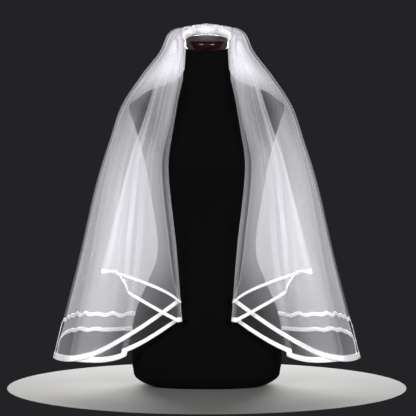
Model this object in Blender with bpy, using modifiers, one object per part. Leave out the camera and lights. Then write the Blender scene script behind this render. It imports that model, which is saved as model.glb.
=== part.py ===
# A two-tier bridal veil gathered on a comb, worn by a limbless dress form.
#
# The form stands on its flat base at z = 0, its front looks along -Y, and the origin is the middle of that base.
# Each tier is one sheet of tulle that falls from the gathers at the back of the neck. It spreads behind the
# shoulders, turns forward at the side, sweeps in over the bust to a soft fold, and turns back outwards there as
# a loose front panel. The longer tier lies next to the form and wraps round the shorter one at that fold.
import math

import bmesh
import bpy
import numpy as np

# Driving dimensions, in metres
CAP_RADIUS = 0.0503
CAP_THICKNESS = 0.018
CAP_TILT = math.radians(17.6)
CAP_CENTRE_Y = -0.004
CAP_TOP_Z = 0.805
BUST_HALF_SPAN = 0.0565
BUST_HEIGHT = 0.508
BUST_DEPTH = 0.024
BUST_SPREAD = 0.038

CLOTH_WALL = 0.0012
SEAM_GAP = 0.0003
TIER_GAP = 0.0055
TIER_GAP_AT_GATHERS = 0.0022
RIBBON_WIDTH = 0.0095
FOLD_RADIUS = 0.0105
FOLD_RADIUS_AT_GATHERS = 0.0062

HEADER_RADIUS = 0.0525
HEADER_HALF_DEPTH = 0.0052
HEADER_HALF_HEIGHT = 0.0095
HEADER_END_ANGLE = math.radians(-16)
HEADER_CRIMPS = 30
HEADER_CRIMP_DEPTH = 0.0011

COMB_HALF_ANGLE = math.radians(44)
COMB_BAR_HEIGHT = 0.005
COMB_BAR_THICKNESS = 0.0024
COMB_RADIUS = CAP_RADIUS + SEAM_GAP + COMB_BAR_THICKNESS / 2
COMB_TOOTH_LENGTH = 0.034
COMB_TEETH = 16

# The dress form, a row for each level: height, half width, half depth, how far its middle lies behind the origin,
# and how squarely the section is rounded (2 is an ellipse)
FORM_COLUMNS = ("height", "half_width", "half_depth", "back_shift", "squareness")
FORM_LEVELS = (
    (0.000, 0.128, 0.086, 0.004, 2.4),
    (0.004, 0.141, 0.096, 0.004, 2.4),
    (0.015, 0.161, 0.109, 0.004, 2.4),
    (0.041, 0.172, 0.117, 0.005, 2.4),
    (0.080, 0.175, 0.119, 0.006, 2.4),
    (0.132, 0.173, 0.117, 0.007, 2.4),
    (0.178, 0.163, 0.110, 0.006, 2.4),
    (0.236, 0.139, 0.097, 0.003, 2.3),
    (0.292, 0.117, 0.087, 0.001, 2.2),
    (0.330, 0.114, 0.085, 0.000, 2.2),
    (0.370, 0.118, 0.087, 0.000, 2.2),
    (0.430, 0.128, 0.094, 0.000, 2.2),
    (0.490, 0.138, 0.101, 0.001, 2.2),
    (0.546, 0.151, 0.103, 0.003, 2.3),
    (0.590, 0.164, 0.100, 0.006, 2.4),
    (0.620, 0.174, 0.091, 0.009, 2.4),
    (0.642, 0.181, 0.076, 0.011, 2.3),
    (0.655, 0.178, 0.067, 0.012, 2.2),
    (0.668, 0.160, 0.062, 0.012, 2.1),
    (0.683, 0.139, 0.058, 0.011, 2.0),
    (0.694, 0.110, 0.055, 0.010, 2.0),
    (0.703, 0.083, 0.053, 0.009, 2.0),
    (0.716, 0.063, 0.051, 0.007, 2.0),
    (0.735, 0.052, 0.049, 0.005, 2.0),
)
NECK_RADIUS = 0.0488
NECK_RINGS = 3
FORM_SIDES = 36

# The path of the longer tier down its four guide lines, a row for each section: how far down the cloth it is,
# then distances in metres for the middle of the back, the outer side, the front fold and the free front edge.
# Across is the distance from the middle plane, out is the y place, up is the height.
DRAPE_COLUMNS = (
    "down",
    "back_out", "back_up",
    "side_across", "side_out", "side_up",
    "fold_across", "fold_out", "fold_up",
    "edge_across", "edge_out", "edge_up",
)
DRAPE = (
    (0.05, 0.078, 0.848, 0.066, 0.024, 0.829, 0.055, -0.030, 0.777, 0.079, -0.020, 0.795),
    (0.09, 0.095, 0.843, 0.084, 0.020, 0.818, 0.055, -0.034, 0.760, 0.086, -0.026, 0.778),
    (0.15, 0.109, 0.806, 0.102, 0.013, 0.777, 0.056, -0.040, 0.741, 0.097, -0.040, 0.754),
    (0.23, 0.118, 0.742, 0.148, 0.003, 0.716, 0.061, -0.054, 0.705, 0.112, -0.064, 0.717),
    (0.33, 0.125, 0.655, 0.193, -0.008, 0.646, 0.071, -0.089, 0.652, 0.126, -0.100, 0.664),
    (0.43, 0.129, 0.565, 0.219, -0.012, 0.570, 0.081, -0.107, 0.588, 0.145, -0.120, 0.600),
    (0.56, 0.138, 0.450, 0.248, -0.015, 0.478, 0.091, -0.114, 0.512, 0.167, -0.132, 0.535),
    (0.78, 0.152, 0.285, 0.292, -0.020, 0.290, 0.072, -0.116, 0.325, 0.206, -0.142, 0.385),
    (1.00, 0.166, 0.114, 0.350, -0.026, 0.064, 0.055, -0.116, 0.156, 0.236, -0.148, 0.266),
)
GATHER_SIDE_ANGLE = math.radians(26)
GATHER_FOLD_ANGLE = math.radians(-12)
GATHER_EDGE_ANGLE = math.radians(-3)
GATHER_HEIGHT = 0.0035
GATHER_RADIUS = HEADER_RADIUS + HEADER_HALF_DEPTH + SEAM_GAP + CLOTH_WALL / 2
LEAVE_HEADER_BY = 0.09

# Where each tier ends on the guide lines, as a share of the longer tier's path, and how its hem curves between
# in front and on the panel: skew moves the front sag's middle, and curl lifts the hem of the turned-back panel
HEM_COLUMNS = ("back", "side", "fold", "edge", "front_sag", "front_skew", "panel_sag", "panel_curl")
LONG_HEM = (1.000, 1.000, 1.000, 1.000, 0.037, 1.00, -0.002, 0.016)
SHORT_HEM = (0.955, 0.998, 0.944, 0.992, 0.050, 0.68, -0.022, 0.0)
BACK_HEM_TURNS_AT = 0.93
# Where the curl begins along the panel's hem, how quickly it comes, and where it begins to fade
CURL_START = 0.64
CURL_WIDTH = 0.07
CURL_FADES_AT = 0.80
# How far down the cloth is free of the gathers' pull, and how far it is before the folded panel hangs by itself
FREE_OF_GATHERS = 0.20
PANEL_HANGS_FROM = 0.15
PANEL_HANGS_OVER = 0.30
# Powers of the sweep behind the shoulders: how the side rises to the back at the gathers and at the hem, and how
# square the sweep is in plan
HIGH_RISE_POWER = 1.5
LOW_RISE_POWER = 45.0
PLAN_POWER = 0.85

# Large folds, a row for each: its place round the sheet at the top and at the hem (0 is the middle of the back,
# 1 the outer side, 2 the front fold, 3 to 4 the free panel), its half width in the same measure, its height,
# and how far down it starts
FOLD_COLUMNS = ("place_top", "place_hem", "half_width", "height", "start")
LARGE_FOLDS = (
    (0.14, 0.17, 0.10, 0.011, 0.20),
    (0.36, 0.42, 0.10, -0.009, 0.25),
    (0.62, 0.66, 0.09, 0.010, 0.22),
    (0.84, 0.88, 0.08, -0.007, 0.35),
    (1.20, 1.34, 0.09, 0.008, 0.30),
    (1.48, 1.52, 0.08, -0.006, 0.45),
    (1.84, 1.70, 0.07, 0.007, 0.28),
    (3.40, 3.30, 0.10, -0.005, 0.40),
    (3.70, 3.66, 0.10, -0.005, 0.35),
)
GATHERS_A_SIDE = 15
GATHER_DEPTH = 0.0012
GATHER_LENGTH = 0.16
GATHERS_FULL_AT = 0.13

# The sheet's grid, as points round each stretch and down its length
BACK_COLUMNS_A_SIDE = 20
FRONT_COLUMNS = 22
TURN_COLUMNS = 5
FLAP_COLUMNS = 12
DROP_ROWS = (0.0, 0.052, 0.09, 0.14, 0.20, 0.30, 0.42, 0.57, 0.78, 1.0)


def new_material(name, colour, roughness, alpha=1.0):
    material = bpy.data.materials.new(name)
    material.use_nodes = True
    shader = material.node_tree.nodes["Principled BSDF"]
    shader.inputs["Base Color"].default_value = (*colour, 1.0)
    shader.inputs["Roughness"].default_value = roughness
    shader.inputs["Metallic"].default_value = 0.0
    shader.inputs["Alpha"].default_value = alpha
    return material


def smooth_curve(places, values, at):
    """Hermite curve through the values at the places, with no overshoot at its ends."""
    places = np.asarray(places, float)
    values = np.asarray(values, float)
    step = np.diff(places)
    slope = np.diff(values) / step
    tangent = np.zeros(len(places))
    tangent[1:-1] = (slope[:-1] * step[1:] + slope[1:] * step[:-1]) / (step[:-1] + step[1:])
    tangent[0], tangent[-1] = slope[0], slope[-1]
    at = np.clip(at, places[0], places[-1])
    i = np.clip(np.searchsorted(places, at, side="right") - 1, 0, len(step) - 1)
    t = (at - places[i]) / step[i]
    return (
        values[i] * (2 * t**3 - 3 * t**2 + 1)
        + tangent[i] * step[i] * (t**3 - 2 * t**2 + t)
        + values[i + 1] * (3 * t**2 - 2 * t**3)
        + tangent[i + 1] * step[i] * (t**3 - t**2)
    )


def smooth_step(x):
    x = np.clip(x, 0.0, 1.0)
    return x * x * (3 - 2 * x)


def on_cap(angle, radius, height):
    """A point by the cap's top: angle 0 at the left side, 90 degrees at the rear, height along the cap's axis."""
    across = radius * np.cos(angle)
    along = radius * np.sin(angle)
    out = CAP_CENTRE_Y + along * math.cos(CAP_TILT) - height * math.sin(CAP_TILT)
    up = CAP_TOP_Z + along * math.sin(CAP_TILT) + height * math.cos(CAP_TILT)
    return across, out, up


def guide(name, down):
    """One guide line's across, out and up at the given shares of the way down."""
    sewn_on = GATHER_RADIUS + TIER_GAP_AT_GATHERS
    tops = {
        "back": on_cap(math.pi / 2, sewn_on, GATHER_HEIGHT),
        "side": on_cap(GATHER_SIDE_ANGLE, sewn_on, GATHER_HEIGHT),
        "fold": on_cap(GATHER_FOLD_ANGLE, GATHER_RADIUS, GATHER_HEIGHT),
        "edge": on_cap(GATHER_EDGE_ANGLE, GATHER_RADIUS + 2 * FOLD_RADIUS_AT_GATHERS, GATHER_HEIGHT),
    }
    places = [0.0] + [row[0] for row in DRAPE]
    found = []
    for axis, kind in enumerate(("across", "out", "up")):
        key = name + "_" + kind
        if key in DRAPE_COLUMNS:
            column = [row[DRAPE_COLUMNS.index(key)] for row in DRAPE]
            found.append(smooth_curve(places, [tops[name][axis]] + column, down))
        else:
            found.append(np.zeros_like(down))
    return found


def hem_share(u, hem):
    """How far down the longer tier's path a tier ends, round the sheet."""
    back, side, fold, edge = (hem[name] for name in ("back", "side", "fold", "edge"))
    return np.interp(u, [0.0, BACK_HEM_TURNS_AT, 1.0, 2.0, 3.0, 4.0], [back, back, side, fold, fold, edge])


def fold_radius(down):
    wide = smooth_step(down / FREE_OF_GATHERS)
    return FOLD_RADIUS_AT_GATHERS + (FOLD_RADIUS - FOLD_RADIUS_AT_GATHERS) * wide


def hanging_sheet(u, down, hem):
    """The sheet from the middle of the back (u 0) past the side (1) to the front fold (2), but for its gathers."""
    back = guide("back", down)
    side = guide("side", down)
    fold = guide("fold", down)
    fold_across = fold[0] + fold_radius(down) * smooth_step(down / FREE_OF_GATHERS)

    # Behind the shoulder, a quarter of an ellipse from the middle of the back to the outer side
    angle = np.clip(u, 0, 1) * math.pi / 2
    high_up = back[2] + (side[2] - back[2]) * np.sin(angle) ** HIGH_RISE_POWER
    low_up = back[2] + (side[2] - back[2]) * np.sin(angle) ** LOW_RISE_POWER
    behind = (
        side[0] * np.sin(angle),
        side[1] + (back[1] - side[1]) * np.cos(angle) ** PLAN_POWER,
        high_up + (low_up - high_up) * smooth_step((down - FREE_OF_GATHERS) / 0.5),
    )

    # In front, from the outer side in to the fold
    t = np.clip(u - 1, 0, 1)
    rounded = smooth_step((down - 0.05) / 0.25)
    across_share = t + (1 - np.cos(t * math.pi / 2) - t) * rounded
    out_share = t + (np.sin(t * math.pi / 2) - t) * rounded
    sag = hem["front_sag"] * np.sin(math.pi * across_share ** hem["front_skew"]) * down**3
    wing = (
        side[0] + (fold_across - side[0]) * across_share,
        side[1] + (fold[1] - side[1]) * out_share,
        side[2] + (fold[2] - side[2]) * across_share - sag,
    )
    return np.stack([np.where(u <= 1, rear, front) for rear, front in zip(behind, wing)], axis=-1)


def sewn_sheet(u, down, hem):
    """The hanging sheet, drawn in at its top to the row of gathers round the heading."""
    angle = np.interp(u, [0.0, 1.0, 2.0], [math.pi / 2, GATHER_SIDE_ANGLE, GATHER_FOLD_ANGLE])
    room = TIER_GAP_AT_GATHERS * smooth_step((1.9 - u) / 0.4)
    ring = np.stack(np.broadcast_arrays(*on_cap(angle, GATHER_RADIUS + room, GATHER_HEIGHT)), axis=-1)
    drawn_in = ring - hanging_sheet(u, np.zeros_like(down), hem)
    return hanging_sheet(u, down, hem) + drawn_in * (1 - smooth_step(down / LEAVE_HEADER_BY))[..., None]


def unit(vectors):
    return vectors / np.linalg.norm(vectors, axis=-1, keepdims=True)


def base_sheet(u, down, hem):
    """The smooth sheet on the left side, as x, y and z: u 2 to 3 is the turn at the fold, 3 to 4 the free panel."""
    step = 1e-3
    sheet = sewn_sheet(np.clip(u, 0, 2), down, hem)
    at_fold = np.full_like(down, 2.0)
    end = sewn_sheet(at_fold, down, hem)
    low, high = np.maximum(down - step, 0), np.minimum(down + step, 1)
    fall = unit(sewn_sheet(at_fold, high, hem) - sewn_sheet(at_fold, low, hem))
    along = unit(end - sewn_sheet(at_fold - step, down, hem))
    slant = (along * fall).sum(axis=-1, keepdims=True)
    inward = unit(along - fall * slant)
    off = np.cross(inward, fall)

    # The turn at the fold is half a circle, square to the cloth's fall
    radius = fold_radius(down)[..., None]
    turn = (np.clip(u - 2, 0, 1) * math.pi)[..., None]
    tip = end + inward * radius * np.sin(turn) + off * radius * (1 - np.cos(turn))

    # The free front panel leaves the turn as a folded sheet does, its rows the mirror of those behind it
    start = end + off * 2 * radius
    edge = np.stack(guide("edge", down), axis=-1)
    reach = edge - start
    s = np.clip(u - 3, 0, 1)[..., None]
    mirrored = along - 2 * inward * (along * inward).sum(axis=-1, keepdims=True)
    low_down = smooth_step((down - PANEL_HANGS_FROM) / PANEL_HANGS_OVER)[..., None]
    leaving = -inward * (1 - low_down) + mirrored * low_down
    leaving = leaving * np.linalg.norm(reach, axis=-1, keepdims=True)
    panel = start + reach * (3 * s**2 - 2 * s**3) + leaving * (s**3 - 2 * s**2 + s) + reach * (s**3 - s**2)
    s = s[..., 0]
    curl = smooth_step((s - CURL_START) / CURL_WIDTH) * (1 - smooth_step((s - CURL_FADES_AT) / (1 - CURL_FADES_AT)))
    lowered = hem["panel_sag"] * np.sin(math.pi * s**0.7) - hem["panel_curl"] * curl
    panel[..., 2] -= lowered * down**4

    points = np.where((u > 2)[..., None], tip, sheet)
    points = np.where((u > 3)[..., None], panel, points)
    return points * np.array([-1.0, 1.0, 1.0])


def folds_and_gathers(u, down):
    """How far the sheet's folds and gathers lift it, in metres."""
    round_share = np.where(u < 2, u, np.where(u > 3, u - 1, 2.0))
    fade = np.exp(-down / GATHER_LENGTH) * smooth_step(down / GATHERS_FULL_AT)
    away = smooth_step((2 - u) / 0.3) + smooth_step((u - 3) / 0.3) * smooth_step((down - 0.1) / 0.1)
    lift = GATHER_DEPTH * np.sin(2 * math.pi * round_share * GATHERS_A_SIDE / 3) * fade * away
    for row in LARGE_FOLDS:
        fold = dict(zip(FOLD_COLUMNS, row))
        place = fold["place_top"] + (fold["place_hem"] - fold["place_top"]) * down
        bell = np.exp(-(((u - place) / fold["half_width"]) ** 2))
        lift = lift + fold["height"] * bell * smooth_step((down - fold["start"]) / 0.5)
    return lift


def tier_points(u, share, hem, outward):
    """Points of a tier on the left side. Outward moves it off the longer tier, to its outer face."""
    down = share * hem_share(u, hem)
    step = 1e-3
    here = base_sheet(u, down, hem)
    u_low, u_high = np.maximum(u - step, 0), np.minimum(u + step, 4)
    along = base_sheet(u_high, down, hem) - base_sheet(u_low, down, hem)
    down_low, down_high = np.maximum(down - step, 0), np.minimum(down + step, 1)
    fall = base_sheet(u, down_high, hem) - base_sheet(u, down_low, hem)
    normal = unit(np.cross(fall, along))
    near_gathers = 1 - smooth_step(down / 0.14)
    gap = outward * (TIER_GAP + (TIER_GAP_AT_GATHERS - TIER_GAP) * near_gathers)
    lift = folds_and_gathers(u, down) + gap
    return here + normal * lift[..., None]


def places_round(first, last, count):
    return list(np.linspace(first, last, count))


def stretch_columns(side):
    """The places round the sheet for a stretch, in order from its start to its end."""
    if side == "back":
        half = places_round(0.0, 1.0, BACK_COLUMNS_A_SIDE)
        half[-1] -= 0.002
        return half
    front = places_round(1.0, 2.0, FRONT_COLUMNS)
    front[0] += 0.002
    turn = places_round(2.0, 3.0, TURN_COLUMNS)
    flap = places_round(3.0, 4.0, FLAP_COLUMNS)
    return front + turn[1:] + flap[1:]


def sheet_grid(stretch, rows, hem, outward):
    """The grid of points of one stretch, as rows of columns, in the stretch's own order."""
    columns = np.array(stretch_columns(stretch))
    u, share = np.meshgrid(columns, np.array(rows))
    points = tier_points(u, share, hem, outward)
    if stretch == "left":
        return points
    mirrored = points * np.array([-1.0, 1.0, 1.0])
    if stretch == "right":
        return mirrored[:, ::-1]
    return np.concatenate([mirrored[:, :0:-1], points], axis=1)


def drop_length(hem):
    """The cloth's length down the middle of the front sweep, for placing the ribbon."""
    share = np.linspace(0, 1, 200)
    line = base_sheet(np.full(200, 1.6), share * hem_share(np.array(1.6), hem), hem)
    return float(np.linalg.norm(np.diff(line, axis=0), axis=1).sum())


def grid_object(name, points, material, wall):
    """An open sheet through a grid of points, made a wall by Solidify."""
    rows, columns = points.shape[:2]
    mesh = bpy.data.meshes.new(name)
    work = bmesh.new()
    verts = [[work.verts.new(point) for point in row] for row in points]
    for i in range(rows - 1):
        for j in range(columns - 1):
            work.faces.new((verts[i][j], verts[i + 1][j], verts[i + 1][j + 1], verts[i][j + 1]))
    work.to_mesh(mesh)
    work.free()
    made = bpy.data.objects.new(name, mesh)
    made.data.materials.append(material)
    solidify = made.modifiers.new("wall", "SOLIDIFY")
    solidify.thickness = wall
    solidify.offset = 0.0
    solidify.use_even_offset = False
    mesh.shade_smooth()
    collection.objects.link(made)
    return made


def loft_object(name, rings, material):
    """A closed solid through closed rings of equal count, capped flat at both ends."""
    mesh = bpy.data.meshes.new(name)
    work = bmesh.new()
    verts = [[work.verts.new(point) for point in ring] for ring in rings]
    count = len(rings[0])
    for low, high in zip(verts, verts[1:]):
        for j in range(count):
            k = (j + 1) % count
            work.faces.new((low[j], low[k], high[k], high[j]))
    work.faces.new(verts[0][::-1])
    work.faces.new(verts[-1])
    bmesh.ops.recalc_face_normals(work, faces=work.faces)
    work.to_mesh(mesh)
    work.free()
    mesh.shade_smooth()
    mesh.set_sharp_from_angle(angle=math.radians(50))
    mesh.materials.append(material)
    made = bpy.data.objects.new(name, mesh)
    collection.objects.link(made)
    return made


def form_ring(level):
    """One level ring of the torso, with the bust on its front."""
    ring = []
    power = 2 / level["squareness"]
    for i in range(FORM_SIDES):
        angle = 2 * math.pi * i / FORM_SIDES
        c, s = math.cos(angle), math.sin(angle)
        x = level["half_width"] * math.copysign(abs(c) ** power, c)
        y = level["back_shift"] + level["half_depth"] * math.copysign(abs(s) ** power, s)
        if s < 0:
            for side in (-1, 1):
                across = (x - side * BUST_HALF_SPAN) / BUST_SPREAD
                up = (level["height"] - BUST_HEIGHT) / BUST_SPREAD
                y -= BUST_DEPTH * math.exp(-(across**2 + up**2) / 2)
        ring.append((x, y, level["height"]))
    return ring


def build_form():
    """The limbless torso, from its flat base up the neck to the underside of the cap."""
    heights = [row[0] for row in FORM_LEVELS]
    extra = [0.460, 0.520, 0.568]
    rings = []
    for height in sorted(heights + extra):
        level = {
            key: float(smooth_curve(heights, [row[i] for row in FORM_LEVELS], np.array(height)))
            for i, key in enumerate(FORM_COLUMNS)
        }
        rings.append(form_ring(level))
    last = FORM_LEVELS[-1]
    # The neck leans forward from its foot to sit square under the tilted cap
    top_gap = -(CAP_THICKNESS + SEAM_GAP)
    for k in range(1, NECK_RINGS + 1):
        share = k / NECK_RINGS
        tilt = CAP_TILT * share
        centre_y = last[3] + (CAP_CENTRE_Y - top_gap * math.sin(CAP_TILT) - last[3]) * share
        centre_z = last[0] + (CAP_TOP_Z + top_gap * math.cos(CAP_TILT) - last[0]) * share
        radius = last[1] + (NECK_RADIUS - last[1]) * share
        ring = []
        for i in range(FORM_SIDES):
            angle = 2 * math.pi * i / FORM_SIDES
            c, s = radius * math.cos(angle), radius * math.sin(angle)
            ring.append((c, centre_y + s * math.cos(tilt), centre_z + s * math.sin(tilt)))
        rings.append(ring)
    return loft_object("dress_form", rings, new_material("black jersey", (0.008, 0.008, 0.009), 0.75))


def build_cap():
    """The lacquered wooden neck cap, turned with a rounded edge."""
    round_edge = 0.0045
    profile = [(0.0, 0.0)]
    for k in range(5):
        angle = math.pi / 2 * (1 - k / 4)
        profile.append((
            CAP_RADIUS - round_edge + round_edge * math.cos(angle),
            -round_edge + round_edge * math.sin(angle),
        ))
    for k in range(5):
        angle = -math.pi / 2 * k / 4
        profile.append((
            CAP_RADIUS - round_edge + round_edge * math.cos(angle),
            -CAP_THICKNESS + round_edge + round_edge * math.sin(angle),
        ))
    profile.append((0.0, -CAP_THICKNESS))
    mesh = bpy.data.meshes.new("neck_cap")
    mesh.from_pydata([(r, 0.0, z) for r, z in profile], [(i, i + 1) for i in range(len(profile) - 1)], [])
    mesh.materials.append(new_material("dark red lacquered wood", (0.045, 0.004, 0.003), 0.2))
    cap = bpy.data.objects.new("neck_cap", mesh)
    screw = cap.modifiers.new("turn", "SCREW")
    screw.steps = 36
    screw.render_steps = 36
    screw.use_merge_vertices = True
    screw.merge_threshold = 0.0001
    cap.location = (0.0, CAP_CENTRE_Y, CAP_TOP_Z)
    cap.rotation_euler = (CAP_TILT, 0.0, 0.0)
    collection.objects.link(cap)
    return cap


def build_header():
    """The sewn heading of the gathers, a crimped roll round the back of the cap."""
    sides = 8
    count = HEADER_CRIMPS * 3 + 1
    rings = []
    for i in range(count):
        share = i / (count - 1)
        angle = HEADER_END_ANGLE + share * (math.pi - 2 * HEADER_END_ANGLE)
        crimp = HEADER_CRIMP_DEPTH * (math.cos(2 * math.pi * share * HEADER_CRIMPS) - 1)
        taper = min(1.0, 0.45 + 7 * min(share, 1 - share))
        ring = []
        for k in range(sides):
            turn = 2 * math.pi * (k + 0.5) / sides
            radial = (HEADER_HALF_DEPTH + crimp * 0.5) * math.cos(turn) / math.cos(math.pi / sides)
            lift = (HEADER_HALF_HEIGHT * taper + crimp) * math.sin(turn) / math.cos(math.pi / sides)
            height = HEADER_HALF_HEIGHT * taper + SEAM_GAP + lift
            ring.append(tuple(float(v) for v in on_cap(angle, HEADER_RADIUS + radial, height)))
        rings.append([(-x, y, z) for x, y, z in ring])
    return loft_object("gathered_heading", rings, new_material("gathered tulle heading", (0.88, 0.88, 0.89), 0.8))


def build_comb():
    """The plain comb under the heading, a curved bar with teeth down behind the neck."""
    work = bmesh.new()
    spans = 2 * COMB_TEETH - 1
    top = -SEAM_GAP
    columns = []
    for i in range(spans + 1):
        angle = math.pi / 2 - COMB_HALF_ANGLE + 2 * COMB_HALF_ANGLE * i / spans
        column = []
        for radius, height in (
            (COMB_RADIUS - COMB_BAR_THICKNESS / 2, top),
            (COMB_RADIUS + COMB_BAR_THICKNESS / 2, top),
            (COMB_RADIUS + COMB_BAR_THICKNESS / 2, top - COMB_BAR_HEIGHT),
            (COMB_RADIUS - COMB_BAR_THICKNESS / 2, top - COMB_BAR_HEIGHT),
        ):
            column.append(work.verts.new([float(v) for v in on_cap(angle, radius, height)]))
        columns.append(column)
    undersides = []
    for i, (a, b) in enumerate(zip(columns, columns[1:])):
        for k in range(4):
            m = (k + 1) % 4
            face = work.faces.new((a[k], a[m], b[m], b[k]))
            if k == 2 and i % 2 == 0:
                undersides.append(face)
    work.faces.new(columns[0][::-1])
    work.faces.new(columns[-1])
    bmesh.ops.recalc_face_normals(work, faces=work.faces)
    teeth = bmesh.ops.extrude_discrete_faces(work, faces=undersides)["faces"]
    reach = COMB_TOOTH_LENGTH
    for face in teeth:
        middle = face.calc_center_median()
        for vert in face.verts:
            vert.co = middle + (vert.co - middle) * 0.55
            vert.co.y += reach * math.sin(CAP_TILT)
            vert.co.z -= reach * math.cos(CAP_TILT)
    mesh = bpy.data.meshes.new("comb")
    work.to_mesh(mesh)
    work.free()
    mesh.materials.append(new_material("clear comb plastic", (0.8, 0.8, 0.8), 0.25, 0.6))
    comb = bpy.data.objects.new("comb", mesh)
    collection.objects.link(comb)
    return comb


def build_tier(name, hem, outward):
    """One tier of tulle in three stretches, and the ribbon along its hem."""
    tulle = new_material(name + " tulle", (0.85, 0.85, 0.87), 0.8, 0.3)
    satin = new_material(name + " satin ribbon", (0.9, 0.9, 0.9), 0.35)
    ribbon_start = 1 - RIBBON_WIDTH / drop_length(hem)
    tulle_end = ribbon_start - SEAM_GAP / drop_length(hem)
    rows = [share * tulle_end for share in DROP_ROWS]
    for stretch in ("left", "back", "right"):
        points = sheet_grid(stretch, rows, hem, outward)
        grid_object(f"{name}_{stretch}", points, tulle, CLOTH_WALL)
    strips = [sheet_grid(stretch, [ribbon_start, 1.0], hem, outward) for stretch in ("right", "back", "left")]
    grid_object(f"{name}_ribbon", np.concatenate(strips, axis=1), satin, CLOTH_WALL)


for old in list(bpy.data.objects):
    bpy.data.objects.remove(old)

collection = bpy.data.collections.new("bridal_veil_on_dress_form")
bpy.context.scene.collection.children.link(collection)

build_form()
build_cap()
build_header()
build_comb()
build_tier("lower_tier", dict(zip(HEM_COLUMNS, LONG_HEM)), 0.0)
build_tier("upper_tier", dict(zip(HEM_COLUMNS, SHORT_HEM)), 1.0)
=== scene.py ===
"""A two-tier bridal veil, gathered on a comb and worn by a black dress form.

Each tier is one sheet of soft nylon tulle with a satin ribbon along its hem. It falls from the gathers at the back of
the neck, spreads behind the shoulders, turns forward at the side, sweeps in over the bust to a soft fold, and turns
back outwards there as a loose front panel. Sizes are in metres, with -Y the way the form looks and +Z up.
"""

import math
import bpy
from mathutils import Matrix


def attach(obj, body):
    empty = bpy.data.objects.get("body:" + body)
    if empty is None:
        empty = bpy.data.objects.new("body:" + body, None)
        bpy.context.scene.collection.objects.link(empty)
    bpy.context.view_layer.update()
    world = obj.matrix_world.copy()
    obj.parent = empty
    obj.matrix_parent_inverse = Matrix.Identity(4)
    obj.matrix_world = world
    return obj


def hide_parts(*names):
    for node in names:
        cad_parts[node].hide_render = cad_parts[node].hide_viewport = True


bl_info = {
    "name": "Bridal veil on a dress form",
    "version": (1, 0, 0),
    "blender": (4, 5, 0),
    "location": "3D View > Sidebar > Bridal veil",
    "description": "Builds a two-tier tulle veil with satin ribbon hems on a dress form",
    "category": "Object",
}

import bmesh
import bpy
import numpy as np
from bpy.props import FloatProperty, IntProperty, PointerProperty, StringProperty

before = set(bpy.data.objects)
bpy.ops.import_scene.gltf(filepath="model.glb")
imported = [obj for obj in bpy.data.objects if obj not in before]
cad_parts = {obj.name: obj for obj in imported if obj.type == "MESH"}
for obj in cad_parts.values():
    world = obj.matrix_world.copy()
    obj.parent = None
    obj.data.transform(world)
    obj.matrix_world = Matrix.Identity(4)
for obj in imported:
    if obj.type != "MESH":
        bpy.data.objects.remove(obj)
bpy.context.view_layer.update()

# The neck cap and what sits on it
CAP_RADIUS = 0.0503
CAP_THICKNESS = 0.018
CAP_TILT = math.radians(17.6)
# How far the cap's rim laps down over the neck
CAP_SKIRT = 0.0045
CAP_CENTRE_Y = -0.004
CAP_TOP_Z = 0.805
SEAM_GAP = 0.0003
HEADER_RADIUS = 0.0525
HEADER_HALF_DEPTH = 0.0052
HEADER_HALF_HEIGHT = 0.0095
HEADER_END_ANGLE = math.radians(-16)
# The gathered roll, a row for each place along it: the angle round the cap in degrees, the radius and height of its
# middle over the cap's top, and half its depth and height
ROLL_COLUMNS = ("angle", "radius", "height", "half_depth", "half_height")
ROLL = (
    (-25, 0.0572, 0.0046, 0.0030, 0.0036),
    (-19, 0.0554, 0.0060, 0.0044, 0.0050),
    (-10, 0.0518, 0.0078, 0.0072, 0.0066),
    (6, 0.0486, 0.0086, 0.0100, 0.0078),
    (27, 0.0462, 0.0092, 0.0116, 0.0088),
    (51, 0.0480, 0.0098, 0.0098, 0.0094),
    (68, 0.0515, 0.0100, 0.0062, 0.0096),
    (90, 0.0525, 0.0100, 0.0052, 0.0097),
)

# The dress form, a row for each level: height, half width, half depth, how far its middle lies behind the origin,
# and how squarely the section is rounded (2 is an ellipse)
FORM_COLUMNS = ("height", "half_width", "half_depth", "back_shift", "squareness")
FORM_LEVELS = (
    (0.000, 0.128, 0.086, 0.004, 2.4),
    (0.004, 0.141, 0.096, 0.004, 2.4),
    (0.015, 0.161, 0.109, 0.004, 2.4),
    (0.041, 0.172, 0.117, 0.005, 2.4),
    (0.080, 0.175, 0.119, 0.006, 2.4),
    (0.132, 0.173, 0.117, 0.007, 2.4),
    (0.178, 0.163, 0.110, 0.006, 2.4),
    (0.236, 0.139, 0.097, 0.003, 2.3),
    (0.292, 0.117, 0.087, 0.001, 2.2),
    (0.330, 0.114, 0.085, 0.000, 2.2),
    (0.370, 0.118, 0.087, 0.000, 2.2),
    (0.430, 0.128, 0.094, 0.000, 2.2),
    (0.490, 0.138, 0.101, 0.001, 2.2),
    (0.546, 0.151, 0.103, 0.003, 2.3),
    (0.590, 0.164, 0.100, 0.006, 2.4),
    (0.620, 0.174, 0.091, 0.009, 2.4),
    (0.642, 0.181, 0.076, 0.011, 2.3),
    (0.655, 0.178, 0.067, 0.012, 2.2),
    (0.668, 0.160, 0.062, 0.012, 2.1),
    (0.683, 0.139, 0.058, 0.011, 2.0),
    (0.694, 0.110, 0.055, 0.010, 2.0),
    (0.703, 0.083, 0.053, 0.009, 2.0),
    (0.716, 0.063, 0.051, 0.007, 2.0),
    (0.735, 0.052, 0.049, 0.005, 2.0),
)
BUST_HALF_SPAN = 0.0565
BUST_HEIGHT = 0.508
BUST_DEPTH = 0.024
BUST_SPREAD = 0.038
NECK_RADIUS = 0.0488
NECK_RINGS = 10
FORM_SIDES = 128
FORM_RINGS = 110

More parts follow.
